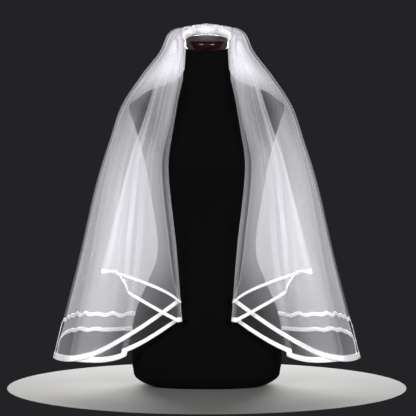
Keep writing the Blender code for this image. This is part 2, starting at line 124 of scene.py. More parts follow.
# The path of the longer tier down its four guide lines, a row for each section: how far down the cloth it is,
# then distances for the middle of the back, the outer side, the front fold and the free front edge.
# Across is the distance from the middle plane, out is the y place, up is the height.
DRAPE_COLUMNS = (
    "down",
    "back_out", "back_up",
    "side_across", "side_out", "side_up",
    "fold_across", "fold_out", "fold_up",
    "edge_across", "edge_out", "edge_up",
)
DRAPE = (
    (0.05, 0.078, 0.848, 0.066, 0.024, 0.829, 0.055, -0.030, 0.777, 0.079, -0.020, 0.795),
    (0.09, 0.095, 0.843, 0.084, 0.020, 0.818, 0.055, -0.034, 0.760, 0.086, -0.026, 0.778),
    (0.15, 0.109, 0.806, 0.102, 0.013, 0.777, 0.056, -0.040, 0.741, 0.097, -0.040, 0.754),
    (0.23, 0.118, 0.742, 0.148, 0.003, 0.716, 0.061, -0.054, 0.705, 0.112, -0.064, 0.717),
    (0.33, 0.125, 0.655, 0.193, -0.008, 0.646, 0.071, -0.089, 0.652, 0.126, -0.100, 0.664),
    (0.43, 0.129, 0.565, 0.219, -0.012, 0.570, 0.081, -0.107, 0.588, 0.145, -0.120, 0.600),
    (0.56, 0.138, 0.450, 0.248, -0.015, 0.478, 0.091, -0.114, 0.512, 0.167, -0.132, 0.535),
    (0.78, 0.152, 0.285, 0.292, -0.020, 0.290, 0.072, -0.116, 0.325, 0.206, -0.142, 0.385),
    (1.00, 0.166, 0.114, 0.350, -0.026, 0.064, 0.055, -0.116, 0.156, 0.236, -0.148, 0.266),
)
GATHER_SIDE_ANGLE = math.radians(26)
GATHER_FOLD_ANGLE = math.radians(-12)
GATHER_EDGE_ANGLE = math.radians(-3)
GATHER_HEIGHT = 0.0035
GATHER_WALL = 0.0012
GATHER_RADIUS = HEADER_RADIUS + HEADER_HALF_DEPTH + SEAM_GAP + GATHER_WALL / 2
LEAVE_HEADER_BY = 0.09
TIER_GAP = 0.0055
TIER_GAP_AT_GATHERS = 0.0022
FOLD_RADIUS = 0.0105
FOLD_RADIUS_AT_GATHERS = 0.0062

# Where each tier ends on the guide lines, as a share of the longer tier's path, and how its hem curves between them
# in front and on the panel: skew moves the front sag's middle, and curl lifts the hem of the turned-back panel
HEM_COLUMNS = ("back", "side", "fold", "edge", "front_sag", "front_skew", "panel_sag", "panel_curl")
LONG_HEM = (1.000, 1.000, 1.000, 1.000, 0.034, 1.00, -0.002, 0.022)
SHORT_HEM = (0.955, 1.000, 0.944, 0.992, 0.050, 0.68, -0.022, 0.0)
BACK_HEM_TURNS_AT = 0.93
CURL_START = 0.64
CURL_WIDTH = 0.07
CURL_FADES_AT = 0.80
FREE_OF_GATHERS = 0.20
PANEL_HANGS_FROM = 0.15
PANEL_HANGS_OVER = 0.30
HIGH_RISE_POWER = 1.5
LOW_RISE_POWER = 260.0
PLAN_POWER = 0.85

# Large folds, a row for each: its place round the sheet at the top and at the hem (0 is the middle of the back,
# 1 the outer side, 2 the front fold, 3 to 4 the free panel), its half width in the same measure, its height,
# and how far down it starts
FOLD_COLUMNS = ("place_top", "place_hem", "half_width", "height", "start")
LARGE_FOLDS = (
    (0.14, 0.17, 0.10, 0.011, 0.20),
    (0.36, 0.42, 0.10, -0.009, 0.25),
    (0.62, 0.66, 0.09, 0.010, 0.22),
    (0.84, 0.88, 0.08, -0.007, 0.35),
    (1.20, 1.34, 0.09, 0.008, 0.30),
    (1.48, 1.52, 0.08, -0.006, 0.45),
    (1.84, 1.70, 0.07, 0.007, 0.28),
    (3.40, 3.30, 0.10, -0.005, 0.40),
    (3.70, 3.66, 0.10, -0.005, 0.35),
)

# Gathers, a row for each train of small waves: how many on a side, how high, the share of the drop over which they
# fade, and where they begin
WAVE_COLUMNS = ("count", "height", "length", "phase")
GATHER_WAVES = (
    (9, 0.0010, 0.20, 0.3),
    (17, 0.0004, 0.12, 1.9),
    (29, 0.0001, 0.08, 4.1),
)

# Creases given one by one, a row for each: the tier, its place round the sheet at the top and at the hem, its half
# width, its height, where it starts and ends down the drop, and how many layers it draws together
CREASE_COLUMNS = ("tier", "place_top", "place_hem", "half_width", "height", "start", "end", "layers")
CREASES = (
    ("lower", 1.385, 1.353, 0.011, 0.0015, 0.42, 1.10, 1.0),
    ("lower", 1.62, 1.62, 0.011, 0.0012, 0.66, 0.96, 0.9),
    ("upper", 1.385, 1.350, 0.011, 0.0014, 0.30, 1.10, 0.6),
    ("upper", 1.20, 1.17, 0.012, 0.0014, 0.40, 0.75, 1.0),
    ("upper", 0.62, 0.62, 0.020, 0.0016, -0.20, 0.28, 1.6),
    ("upper", 0.80, 0.78, 0.020, 0.0016, -0.20, 0.34, 1.8),
    ("upper", 0.97, 1.02, 0.016, 0.0012, -0.20, 0.30, 1.6),
    ("lower", 0.88, 0.86, 0.020, 0.0014, -0.20, 0.30, 1.4),
    ("upper", 3.634, 3.281, 0.016, 0.0014, 0.26, 0.64, 1.0),
    ("upper", 3.416, 3.202, 0.016, 0.0012, 0.28, 0.60, 0.8),
    ("lower", 3.30, 3.26, 0.018, 0.0012, 0.16, 0.60, 0.9),
    ("lower", 3.84, 3.82, 0.016, 0.0010, 0.30, 0.90, 0.7),
    ("lower", 0.22, 0.25, 0.012, 0.0015, 0.20, 1.10, 1.2),
    ("lower", 0.55, 0.60, 0.012, 0.0015, 0.30, 0.90, 1.0),
    ("upper", 0.10, 0.08, 0.012, 0.0015, 0.25, 1.10, 1.1),
    ("upper", 0.44, 0.50, 0.012, 0.0015, 0.18, 0.80, 1.1),
    ("upper", 0.80, 0.84, 0.012, 0.0015, 0.24, 1.10, 1.0),
)
FINE_CREASES_A_SIDE = 16
# Broad soft streaks that fan out from the gathers
FAN_STREAKS_A_SIDE = 13
# The densest gathers, right at the heading: how many more layers, and over what share of the drop they spread
GATHERED_LAYERS = 5.0
GATHERED_OVER = 0.035
# Round each tier, as (place, value) pairs: how thickly the cloth lies in each stretch, how many layers its gathers
# make at the most, and the share of the densest gathers that it takes. The puffs behind the shoulders stay thin.
# The extra layers at the turn of the front fold (2.2 to 2.8) are partly cloth seen edge on and partly a painted
# highlight, and those on the upper tier's free panel are partly a painted sheen, both drawn as denser white net.
THICKNESS_AND_PAINTED_SHEEN = {
    "lower": (
        (0.0, 1.5), (0.95, 1.5), (1.05, 1.0), (1.37, 0.75), (1.41, 2.0), (1.55, 1.9), (1.7, 0.6), (1.9, 0.6),
        (2.0, 0.9), (2.2, 3.0), (2.8, 3.0), (3.0, 1.1), (4.0, 0.8),
    ),
    "upper": (
        (0.0, 0.9), (0.97, 0.9), (1.0, 0.3), (1.345, 0.3), (1.365, 1.0), (1.8, 0.9), (2.0, 1.2), (2.2, 3.4),
        (2.8, 3.4), (3.0, 2.2), (3.4, 1.6), (3.9, 1.8), (4.0, 2.6),
    ),
}
# How much more thickly each tier lies low down, and the stretch of the drop over which that comes
THICKER_LOW = {"lower": 0.6, "upper": 0.0}
THICKER_FROM = 0.45
THICKER_OVER = 0.40
MOST_LAYERS = ((0.0, 9.0), (0.4, 3.0), (1.0, 3.0), (1.35, 4.0), (1.7, 5.0), (2.5, 5.0), (3.2, 4.0), (4.0, 4.0))
DENSE_SHARE = ((0.0, 0.7), (0.5, 0.3), (0.8, 0.05), (1.1, 0.2), (1.4, 1.0), (4.0, 1.0))
# The front fold leans in towards the middle, as (share of the way down, metres) pairs
FOLD_LEANS_IN = {
    "lower": ((0.0, 0.0), (0.12, 0.003), (0.24, 0.0075), (0.42, 0.0065), (0.65, 0.005), (0.85, 0.003), (1.0, 0.0)),
    "upper": (
        (0.0, 0.0), (0.12, 0.001), (0.3, 0.005), (0.4, 0.004), (0.55, -0.003), (0.68, -0.005), (0.8, -0.006),
        (0.88, -0.003), (0.945, 0.008), (1.0, 0.009),
    ),
}
# How far the hem at the back waves up and down, and how many waves it has from the middle to the side
HEM_FLUTTER = {"lower": (0.0021, 8.3), "upper": (0.0038, 11.7)}

# Pleats, where the cloth lies in three layers, a row for each: the tier, its place round the sheet at the hem, the
# most it takes up in the same measure, its width, how deep its layers stand, how far it leans higher up, the stretch
# over which that fades out, and how much lower the cloth before it hangs at the hem
PLEAT_COLUMNS = ("tier", "place", "reach", "width", "depth", "lean", "fades_from", "fades_to", "drop")
PLEATS = (
    ("lower", 1.708, 0.060, 0.0125, 0.0016, 0.19, 1.36, 1.96, 0.009),
    ("lower", 3.640, 0.120, 0.0120, 0.0010, 0.12, 3.20, 3.98, 0.005),
)

# The grid of a sheet, as columns in each stretch of a side and rows down its drop
BACK_COLUMNS = 96
FRONT_COLUMNS = 96
TURN_COLUMNS = 14
PANEL_COLUMNS = 60
SHEET_ROWS = 112
RIBBON_ROWS = 5

# The camera stands level in front of the form
CAMERA_PLACE = (0.0028, -3.2, 0.411)
CAMERA_LENS = 118.9
CAMERA_SENSOR = 36.0


class VeilSizes(bpy.types.PropertyGroup):
    ribbon_width: FloatProperty(
        name="Ribbon width", description="Width of the satin ribbon", default=0.0095, min=0.004, max=0.03,
        unit="LENGTH",
    )
    ribbon_thickness: FloatProperty(
        name="Ribbon thickness", description="Thickness of the ribbon folded over the hem", default=0.0008,
        min=0.0002, max=0.002, unit="LENGTH",
    )
    mesh_size: FloatProperty(
        name="Net mesh", description="Distance from one hole of the net to the next", default=0.0018, min=0.0008,
        max=0.005, unit="LENGTH",
    )
    thread_cover: FloatProperty(
        name="Thread cover", description="Share of the net's area that its threads fill", default=0.045, min=0.01,
        max=0.5, subtype="FACTOR",
    )
    crimps: IntProperty(
        name="Crimps", description="Crimps along the gathered heading", default=74, min=20, max=160,
    )
    frill_height: FloatProperty(
        name="Frill height", description="How far the raw edge stands above the heading", default=0.0065,
        min=0.0, max=0.02, unit="LENGTH",
    )


class VeilColours(bpy.types.PropertyGroup):
    tulle: StringProperty(name="Tulle", description="Colour of the net, as an sRGB hex value", default="E6E5EA")
    heading: StringProperty(name="Heading", description="Colour of the gathered net, as sRGB hex", default="F1F0F4")
    ribbon: StringProperty(name="Ribbon", description="Colour of the satin, as an sRGB hex value", default="FBFAFC")
    jersey: StringProperty(name="Jersey", description="Colour of the form's cover, as sRGB hex", default="0B0B0C")
    lacquer: StringProperty(name="Lacquer", description="Colour of the lacquered cap, as sRGB hex", default="2A0504")
    lacquer_dark: StringProperty(name="Grain", description="Colour of the cap's grain, as sRGB hex", default="130202")
    comb: StringProperty(name="Comb", description="Colour of the comb's plastic, as sRGB hex", default="EEF0F2")
    floor: StringProperty(name="Floor", description="Colour of the floor, as an sRGB hex value", default="767573")
    backdrop: StringProperty(name="Backdrop", description="Colour round the stage, as sRGB hex", default="232225")


def linear(hex_colour):
    """An sRGB hex value as linear red, green, blue and full alpha."""
    channels = [int(hex_colour[i : i + 2], 16) / 255 for i in (0, 2, 4)]
    return tuple(c / 12.92 if c <= 0.04045 else ((c + 0.055) / 1.055) ** 2.4 for c in channels) + (1.0,)


def add_node(tree, kind, links=(), **settings):
    """Adds a node. Settings are its properties, or its sockets by name or number; links are (socket, output)."""
    node = tree.nodes.new(kind)
    sockets = settings.pop("sockets", {})
    for name, value in settings.items():
        setattr(node, name, value)
    for name, value in sockets.items():
        node.inputs[name].default_value = value
    for name, output in links:
        tree.links.new(node.inputs[name], output)
    return node


def new_material(name):
    material = bpy.data.materials.new(name)
    material.use_nodes = True
    tree = material.node_tree
    tree.nodes.clear()
    return material, tree


def maths(tree, operation, *values):
    """A Math node's output; each value is a number or an output."""
    node = add_node(tree, "ShaderNodeMath", operation=operation)
    for i, value in enumerate(values):
        if isinstance(value, (int, float)):
            node.inputs[i].default_value = value
        else:
            tree.links.new(node.inputs[i], value)
    return node.outputs[0]


def tulle_material(name, cover, through_share, colour, sizes):
    """Soft nylon tulle, knitted as a fine hexagonal net: white threads that let most light straight through.

    Cover is the share that one layer's threads fill, and through_share how much light the thinnest cloth lets through.
    """
    material, tree = new_material(name)
    # Where the cloth is gathered, more layers lie on each other; seen edge on, each layer covers more
    layers = add_node(tree, "ShaderNodeAttribute", attribute_name="layers")
    facing = add_node(tree, "ShaderNodeLayerWeight", sockets={"Blend": 0.5})
    square_on = maths(tree, "MAXIMUM", maths(tree, "SUBTRACT", 1.0, facing.outputs["Facing"]), 0.4)
    depth = maths(tree, "DIVIDE", layers.outputs["Fac"], square_on)
    # The net's holes, from two trains of bands on the sheet's flat pattern in metres
    flat = add_node(tree, "ShaderNodeUVMap", uv_map="flat")
    bands = []
    for turn in (math.radians(60), math.radians(-60)):
        turned = add_node(
            tree, "ShaderNodeMapping", [("Vector", flat.outputs["UV"])], sockets={"Rotation": (0.0, 0.0, turn)}
        )
        wave = add_node(
            tree, "ShaderNodeTexWave", [("Vector", turned.outputs[0])],
            sockets={"Scale": 2 * math.pi / 20 / sizes.mesh_size, "Distortion": 0.0},
        )
        bands.append(wave.outputs["Fac"])
    net = maths(tree, "MAXIMUM", *bands)
    cloud = add_node(
        tree, "ShaderNodeTexNoise", [("Vector", flat.outputs["UV"])],
        sockets={"Scale": 14.0, "Detail": 3.0, "Roughness": 0.55},
    )
    threads = maths(tree, "MULTIPLY_ADD", net, 0.3, 0.8)
    uneven = maths(tree, "MULTIPLY_ADD", cloud.outputs["Fac"], 0.3, 0.85)
    depth = maths(tree, "MULTIPLY", depth, maths(tree, "MULTIPLY", threads, uneven))
    covered = maths(tree, "SUBTRACT", 1.0, maths(tree, "POWER", 1.0 - cover, depth))
    thread = add_node(
        tree, "ShaderNodeBsdfPrincipled",
        sockets={
            "Base Color": linear(colour), "Roughness": 0.75, "Sheen Weight": 0.12, "Sheen Roughness": 0.4,
            "Specular IOR Level": 0.3, "IOR": 1.53,
        },
    )
    through = add_node(tree, "ShaderNodeBsdfTranslucent", sockets={"Color": linear(colour)})
    # The thicker the cloth lies, the less light comes through it
    thin = maths(tree, "MULTIPLY", maths(tree, "SUBTRACT", 1.0, covered), through_share)
    lit = add_node(
        tree, "ShaderNodeMixShader", [(0, thin), (1, thread.outputs[0]), (2, through.outputs[0])]
    )
    clear = add_node(tree, "ShaderNodeBsdfTransparent")
    mixed = add_node(
        tree, "ShaderNodeMixShader", [(0, covered), (1, clear.outputs[0]), (2, lit.outputs[0])]
    )
    add_node(tree, "ShaderNodeOutputMaterial", [("Surface", mixed.outputs[0])])
    return material


def satin_material(colours, sizes):
    """Polyester satin ribbon, woven with long floats that give it a soft shine across its width."""
    material, tree = new_material("polyester satin ribbon, woven")
    flat = add_node(tree, "ShaderNodeUVMap", uv_map="flat")
    # The real weave is about 0.15 mm; it is drawn at 0.9 mm so that it shows
    weave = add_node(
        tree, "ShaderNodeTexWave", [("Vector", flat.outputs["UV"])], bands_direction="X",
        sockets={"Scale": 2 * math.pi / 20 / 0.0009, "Distortion": 1.0, "Detail": 1.0},
    )
    slub = add_node(
        tree, "ShaderNodeTexNoise", [("Vector", flat.outputs["UV"])], sockets={"Scale": 90.0, "Detail": 3.0}
    )
    height = maths(tree, "ADD", maths(tree, "MULTIPLY", weave.outputs["Fac"], 0.3), slub.outputs["Fac"])
    bump = add_node(
        tree, "ShaderNodeBump", [("Height", height)], sockets={"Strength": 0.25, "Distance": 0.0004}
    )
    rough = maths(tree, "MULTIPLY_ADD", slub.outputs["Fac"], 0.2, 0.3)
    satin = add_node(
        tree, "ShaderNodeBsdfPrincipled", [("Normal", bump.outputs[0]), ("Roughness", rough)],
        sockets={
            "Base Color": linear(colours.ribbon), "Sheen Weight": 0.3, "Specular IOR Level": 0.5, "IOR": 1.54,
        },
    )
    through = add_node(tree, "ShaderNodeBsdfTranslucent", sockets={"Color": linear(colours.ribbon)})
    mixed = add_node(
        tree, "ShaderNodeMixShader", [(1, satin.outputs[0]), (2, through.outputs[0])], sockets={0: 0.03}
    )
    add_node(tree, "ShaderNodeOutputMaterial", [("Surface", mixed.outputs[0])])
    return material


def jersey_material(colours):
    """Black cotton jersey stretched over a moulded shell: matt, with a fine rib of knitted loops."""
    material, tree = new_material("black cotton jersey, knitted")
    place = add_node(tree, "ShaderNodeTexCoord")
    # The knit's loops are about 0.7 mm apart; they are drawn at 1.4 mm so that they show
    knit = add_node(
        tree, "ShaderNodeTexVoronoi", [("Vector", place.outputs["Object"])], sockets={"Scale": 1 / 0.0014}
    )
    fluff = add_node(
        tree, "ShaderNodeTexNoise", [("Vector", place.outputs["Object"])],
        sockets={"Scale": 60.0, "Detail": 5.0, "Roughness": 0.7},
    )
    bump = add_node(
        tree, "ShaderNodeBump", [("Height", knit.outputs["Distance"])], sockets={"Strength": 0.3, "Distance": 0.0005}
    )
    rough = maths(tree, "MULTIPLY_ADD", fluff.outputs["Fac"], 0.2, 0.72)
    jersey = add_node(
        tree, "ShaderNodeBsdfPrincipled", [("Normal", bump.outputs[0]), ("Roughness", rough)],
        sockets={
            "Base Color": linear(colours.jersey), "Sheen Weight": 0.01, "Sheen Roughness": 0.5,
            "Specular IOR Level": 0.0,
        },
    )
    add_node(tree, "ShaderNodeOutputMaterial", [("Surface", jersey.outputs[0])])
    return material


def lacquer_material(name, coat, colours):
    """Turned beech, stained dark red and lacquered: a glossy clear coat over a faint grain."""
    material, tree = new_material(name)
    place = add_node(tree, "ShaderNodeTexCoord")
    # Grain lines about 3 mm apart run across the cap
    stretched = add_node(
        tree, "ShaderNodeMapping", [("Vector", place.outputs["Object"])], sockets={"Scale": (8.0, 330.0, 60.0)}
    )
    grain = add_node(
        tree, "ShaderNodeTexNoise", [("Vector", stretched.outputs[0])], sockets={"Scale": 1.0, "Detail": 4.0}
    )
    tone = add_node(tree, "ShaderNodeValToRGB", [("Fac", grain.outputs["Fac"])])
    tone.color_ramp.elements[0].position = 0.35
    tone.color_ramp.elements[0].color = linear(colours.lacquer_dark)
    tone.color_ramp.elements[1].position = 0.7
    tone.color_ramp.elements[1].color = linear(colours.lacquer)
    bump = add_node(
        tree, "ShaderNodeBump", [("Height", grain.outputs["Fac"])], sockets={"Strength": 0.08, "Distance": 0.0005}
    )
    wood = add_node(
        tree, "ShaderNodeBsdfPrincipled", [("Base Color", tone.outputs[0]), ("Normal", bump.outputs[0])],
        sockets={"Roughness": 0.4, "Coat Weight": coat, "Coat Roughness": 0.05, "Specular IOR Level": 0.1},
    )
    add_node(tree, "ShaderNodeOutputMaterial", [("Surface", wood.outputs[0])])
    return material


def plastic_material(colours):
    """Clear moulded styrene: glossy and slightly cloudy."""
    material, tree = new_material("clear styrene, moulded")
    place = add_node(tree, "ShaderNodeTexCoord")
    haze = add_node(
        tree, "ShaderNodeTexNoise", [("Vector", place.outputs["Object"])], sockets={"Scale": 120.0, "Detail": 2.0}
    )
    rough = maths(tree, "MULTIPLY_ADD", haze.outputs["Fac"], 0.12, 0.06)
    plastic = add_node(
        tree, "ShaderNodeBsdfPrincipled", [("Roughness", rough)],
        sockets={"Base Color": linear(colours.comb), "IOR": 1.59, "Transmission Weight": 0.75},
    )
    add_node(tree, "ShaderNodeOutputMaterial", [("Surface", plastic.outputs[0])])
    return material


def smooth_curve(places, values, at):
    """Hermite curve through the values at the places, with no overshoot at its ends."""
    places = np.asarray(places, float)
    values = np.asarray(values, float)
    step = np.diff(places)
    slope = np.diff(values) / step
    tangent = np.zeros(len(places))
    tangent[1:-1] = (slope[:-1] * step[1:] + slope[1:] * step[:-1]) / (step[:-1] + step[1:])
    tangent[0] = slope[0]
    tangent[-1] = slope[-1]
    at = np.clip(at, places[0], places[-1])
    i = np.clip(np.searchsorted(places, at, side="right") - 1, 0, len(step) - 1)
    t = (at - places[i]) / step[i]
    return (
        values[i] * (2 * t**3 - 3 * t**2 + 1)
        + tangent[i] * step[i] * (t**3 - 2 * t**2 + t)
        + values[i + 1] * (3 * t**2 - 2 * t**3)
        + tangent[i + 1] * step[i] * (t**3 - t**2)
    )


def smooth_step(x):
    x = np.clip(x, 0.0, 1.0)
    return x * x * (3 - 2 * x)


def unit(vectors):
    return vectors / np.linalg.norm(vectors, axis=-1, keepdims=True)


def on_cap(angle, radius, height):
    """A point by the cap's top: angle 0 at the side, 90 degrees at the rear, height along the cap's axis."""
    across = radius * np.cos(angle)
    along = radius * np.sin(angle)
    out = CAP_CENTRE_Y + along * math.cos(CAP_TILT) - height * math.sin(CAP_TILT)
    up = CAP_TOP_Z + along * math.sin(CAP_TILT) + height * math.cos(CAP_TILT)
    return across, out, up


def guide(name, down):
    """One guide line's across, out and up at the given shares of the way down."""
    sewn_on = GATHER_RADIUS + TIER_GAP_AT_GATHERS
    tops = {
        "back": on_cap(math.pi / 2, sewn_on, GATHER_HEIGHT),
        "side": on_cap(GATHER_SIDE_ANGLE, sewn_on, GATHER_HEIGHT),
        "fold": on_cap(GATHER_FOLD_ANGLE, GATHER_RADIUS, GATHER_HEIGHT),
        "edge": on_cap(GATHER_EDGE_ANGLE, GATHER_RADIUS + 2 * FOLD_RADIUS_AT_GATHERS, GATHER_HEIGHT),
    }
    places = [0.0] + [row[0] for row in DRAPE]
    found = []
    for axis, kind in enumerate(("across", "out", "up")):
        key = name + "_" + kind
        if key in DRAPE_COLUMNS:
            column = [row[DRAPE_COLUMNS.index(key)] for row in DRAPE]
            found.append(smooth_curve(places, [tops[name][axis]] + column, down))
        else:
            found.append(np.zeros_like(down))
    return found


def hem_share(u, hem):
    """How far down the longer tier's path a tier ends, round the sheet."""
    back, side, fold, edge = (hem[name] for name in ("back", "side", "fold", "edge"))
    return np.interp(u, [0.0, BACK_HEM_TURNS_AT, 1.0, 2.0, 3.0, 4.0], [back, back, side, fold, fold, edge])


def fold_radius(down):
    wide = smooth_step(down / FREE_OF_GATHERS)
    return FOLD_RADIUS_AT_GATHERS + (FOLD_RADIUS - FOLD_RADIUS_AT_GATHERS) * wide


def hanging_sheet(u, down, hem):
    """The sheet from the middle of the back (u 0) past the side (1) to the front fold (2), but for its gathers."""
    back = guide("back", down)
    side = guide("side", down)
    fold = guide("fold", down)
    fold_across = fold[0] + fold_radius(down) * smooth_step(down / FREE_OF_GATHERS)

    # Behind the shoulder, a quarter of an ellipse from the middle of the back to the outer side
    angle = np.clip(u, 0, 1) * math.pi / 2
    high_up = back[2] + (side[2] - back[2]) * np.sin(angle) ** HIGH_RISE_POWER
    low_up = back[2] + (side[2] - back[2]) * np.sin(angle) ** LOW_RISE_POWER
    behind = (
        side[0] * np.sin(angle),
        side[1] + (back[1] - side[1]) * np.cos(angle) ** PLAN_POWER,
        high_up + (low_up - high_up) * smooth_step((down - FREE_OF_GATHERS) / 0.5),
    )

    # In front, from the outer side in to the fold
    t = np.clip(u - 1, 0, 1)
    rounded = smooth_step((down - 0.05) / 0.25)
    across_share = t + (1 - np.cos(t * math.pi / 2) - t) * rounded
    out_share = t + (np.sin(t * math.pi / 2) - t) * rounded
    sag = hem["front_sag"] * np.sin(math.pi * across_share ** hem["front_skew"]) * down**3
    wing = (
        side[0] + (fold_across - side[0]) * across_share,
        side[1] + (fold[1] - side[1]) * out_share,
        side[2] + (fold[2] - side[2]) * across_share - sag,
    )
    return np.stack([np.where(u <= 1, rear, front) for rear, front in zip(behind, wing)], axis=-1)


def sewn_sheet(u, down, hem):
    """The hanging sheet, drawn in at its top to the row of gathers round the heading."""
    angle = np.interp(u, [0.0, 1.0, 2.0], [math.pi / 2, GATHER_SIDE_ANGLE, GATHER_FOLD_ANGLE])
    room = TIER_GAP_AT_GATHERS * smooth_step((1.9 - u) / 0.4)
    ring = np.stack(np.broadcast_arrays(*on_cap(angle, GATHER_RADIUS + room, GATHER_HEIGHT)), axis=-1)
    drawn_in = ring - hanging_sheet(u, np.zeros_like(down), hem)
    return hanging_sheet(u, down, hem) + drawn_in * (1 - smooth_step(down / LEAVE_HEADER_BY))[..., None]


def base_sheet(u, down, hem):
    """The smooth sheet on the left side, as x, y and z: u 2 to 3 is the turn at the fold, 3 to 4 the free panel."""
    step = 1e-3
    sheet = sewn_sheet(np.clip(u, 0, 2), down, hem)
    at_fold = np.full_like(down, 2.0)
    end = sewn_sheet(at_fold, down, hem)
    low = np.maximum(down - step, 0)
    high = np.minimum(down + step, 1)
    fall = unit(sewn_sheet(at_fold, high, hem) - sewn_sheet(at_fold, low, hem))
    along = unit(end - sewn_sheet(at_fold - step, down, hem))
    slant = (along * fall).sum(axis=-1, keepdims=True)
    inward = unit(along - fall * slant)
    off = np.cross(inward, fall)

    # The turn at the fold is half a circle, square to the cloth's fall
    radius = fold_radius(down)[..., None]
    turn = (np.clip(u - 2, 0, 1) * math.pi)[..., None]
    tip = end + inward * radius * np.sin(turn) + off * radius * (1 - np.cos(turn))

    # The free front panel leaves the turn as a folded sheet does, its rows the mirror of those behind it
    start = end + off * 2 * radius
    edge = np.stack(guide("edge", down), axis=-1)
    reach = edge - start
    s = np.clip(u - 3, 0, 1)[..., None]
    mirrored = along - 2 * inward * (along * inward).sum(axis=-1, keepdims=True)
    low_down = smooth_step((down - PANEL_HANGS_FROM) / PANEL_HANGS_OVER)[..., None]
    leaving = -inward * (1 - low_down) + mirrored * low_down
    leaving = leaving * np.linalg.norm(reach, axis=-1, keepdims=True)
    panel = start + reach * (3 * s**2 - 2 * s**3) + leaving * (s**3 - 2 * s**2 + s) + reach * (s**3 - s**2)
    s = s[..., 0]
    curl = smooth_step((s - CURL_START) / CURL_WIDTH) * (1 - smooth_step((s - CURL_FADES_AT) / (1 - CURL_FADES_AT)))
    lowered = hem["panel_sag"] * np.sin(math.pi * s**0.7) - hem["panel_curl"] * curl
    panel[..., 2] -= lowered * down**4

    points = np.where((u > 2)[..., None], tip, sheet)
    points = np.where((u > 3)[..., None], panel, points)
    return points * np.array([-1.0, 1.0, 1.0])


def crease_rows(tier, side):
    """The creases of one tier's side: those listed, and fine ones that fan out from the gathers."""
    rows = [dict(zip(CREASE_COLUMNS, row)) for row in CREASES if row[0] == tier]
    draw = np.random.default_rng({"lower": 5, "upper": 11}[tier] + (100 if side == "right" else 0))
    for _ in range(FINE_CREASES_A_SIDE):
        top = draw.uniform(0.05, 3.9)
        start = draw.uniform(0.0, 0.35)
        rows.append({
            "place_top": top,
            "place_hem": top + draw.normal(0.0, 0.05),
            "half_width": draw.uniform(0.010, 0.030),
            "height": draw.uniform(-0.0008, 0.0008),
            "start": start,
            "end": start + draw.uniform(0.15, 0.6),
            "layers": draw.uniform(0.1, 0.45),
        })
    for _ in range(FAN_STREAKS_A_SIDE):
        top = draw.uniform(0.3, 3.9)
        rows.append({
            "place_top": top,
            "place_hem": top + draw.normal(0.0, 0.15),
            "half_width": draw.uniform(0.02, 0.05),
            "height": draw.uniform(-0.0008, 0.0008),
            "start": -0.2,
            "end": draw.uniform(0.25, 0.5),
            "layers": draw.uniform(0.2, 0.6),
        })
    return rows


def lifts_and_layers(u, down, tier, side):
    """How far the folds, gathers and creases lift the sheet, and how many more layers they draw together."""
    round_share = np.where(u < 2, u, np.where(u > 3, u - 1, 2.0))
    away = smooth_step((2 - u) / 0.3) + smooth_step((u - 3) / 0.3) * smooth_step((down - 0.1) / 0.1)
    lift = np.zeros_like(down)
    layers = np.zeros_like(down)
    shift = {"lower": 0.0, "upper": 0.8}[tier] + (1.7 if side == "right" else 0.0)
    for row in GATHER_WAVES:
        wave = dict(zip(WAVE_COLUMNS, row))
        wander = 0.6 * np.sin(2.3 * round_share + wave["phase"] + shift) + 0.5 * np.sin(5.1 * down + wave["phase"])
        swing = np.sin(2 * math.pi * round_share * wave["count"] / 3 + wave["phase"] + shift + wander)
        fade = np.exp(-down / wave["length"]) * smooth_step(down / 0.06)
        lift += wave["height"] * swing * fade * away
        layers += 0.10 * swing * np.exp(-down / (1.2 * wave["length"]))
    for row in LARGE_FOLDS:
        fold = dict(zip(FOLD_COLUMNS, row))
        place = fold["place_top"] + (fold["place_hem"] - fold["place_top"]) * down
        bell = np.exp(-(((u - place) / fold["half_width"]) ** 2))
        lift += fold["height"] * bell * smooth_step((down - fold["start"]) / 0.5)
    for crease in crease_rows(tier, side):
        place = crease["place_top"] + (crease["place_hem"] - crease["place_top"]) * down
        bell = np.exp(-(((u - place) / crease["half_width"]) ** 2))
        reach = smooth_step((down - crease["start"]) / 0.12) * smooth_step((crease["end"] - down) / 0.12)
        lift += crease["height"] * bell * reach * away
        layers += crease["layers"] * bell * reach
    return lift, layers


def tier_points(u, share, pleat_rise, hem, tier, side):
    """Points of a tier on one side, and the layers of cloth at each."""
    down = share * hem_share(u, hem)
    step = 1e-3
    here = base_sheet(u, down, hem)
    along = base_sheet(np.minimum(u + step, 4), down, hem) - base_sheet(np.maximum(u - step, 0), down, hem)
    fall = base_sheet(u, np.minimum(down + step, 1), hem) - base_sheet(u, np.maximum(down - step, 0), hem)
    normal = unit(np.cross(fall, along))
    outward = 1.0 if tier == "upper" else 0.0
    near_gathers = 1 - smooth_step(down / 0.14)
    gap = outward * (TIER_GAP + (TIER_GAP_AT_GATHERS - TIER_GAP) * near_gathers)
    lift, layers = lifts_and_layers(u, down, tier, side)
    points = here + normal * (lift + gap + pleat_rise)[..., None]
    height, count = HEM_FLUTTER[tier]
    start = 0.9 if side == "right" else 0.0
    swing = np.sin(2 * math.pi * count * u + 2.1 * np.sin(9.0 * u) + start)
    swing = swing * (0.6 + 0.4 * np.sin(2 * math.pi * 0.37 * count * u + 2.0))
    points[..., 2] += height * swing * share**6 * smooth_step((0.99 - u) / 0.08)
    near_fold = smooth_step((u - 1.55) / 0.4) * smooth_step((3.5 - u) / 0.4)
    leans = np.interp(down, *zip(*FOLD_LEANS_IN[tier]))
    points[..., 0] += leans * near_fold
    if side == "right":
        points = points * np.array([-1.0, 1.0, 1.0])
    return points, layers


